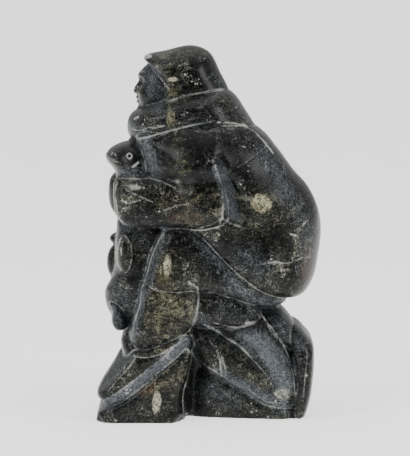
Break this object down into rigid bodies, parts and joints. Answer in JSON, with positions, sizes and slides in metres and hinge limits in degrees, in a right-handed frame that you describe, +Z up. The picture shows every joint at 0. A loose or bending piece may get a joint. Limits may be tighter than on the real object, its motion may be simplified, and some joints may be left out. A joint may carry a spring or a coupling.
{
  "type": "soapstone hunter sculpture",
  "caption": "Carved soapstone figure of a kneeling hunter in a hooded parka, holding a seal to the chest, standing on its own flat stone base.",
  "frame": {"origin": "bottom centre of the bounding box, on the ground plane under the carving", "axes": "+Z up; the hunter faces -X; the side carved in most detail, with the raised knee, faces -Y"},
  "size_m": [0.1406, 0.107, 0.2324],
  "materials": {
    "soapstone": "polished dark green-grey soapstone with pale veins and dusty cut lines"
  },
  "bodies": {
    "root": {"hunter_carving": "soapstone"}
  },
  "joints": []
}
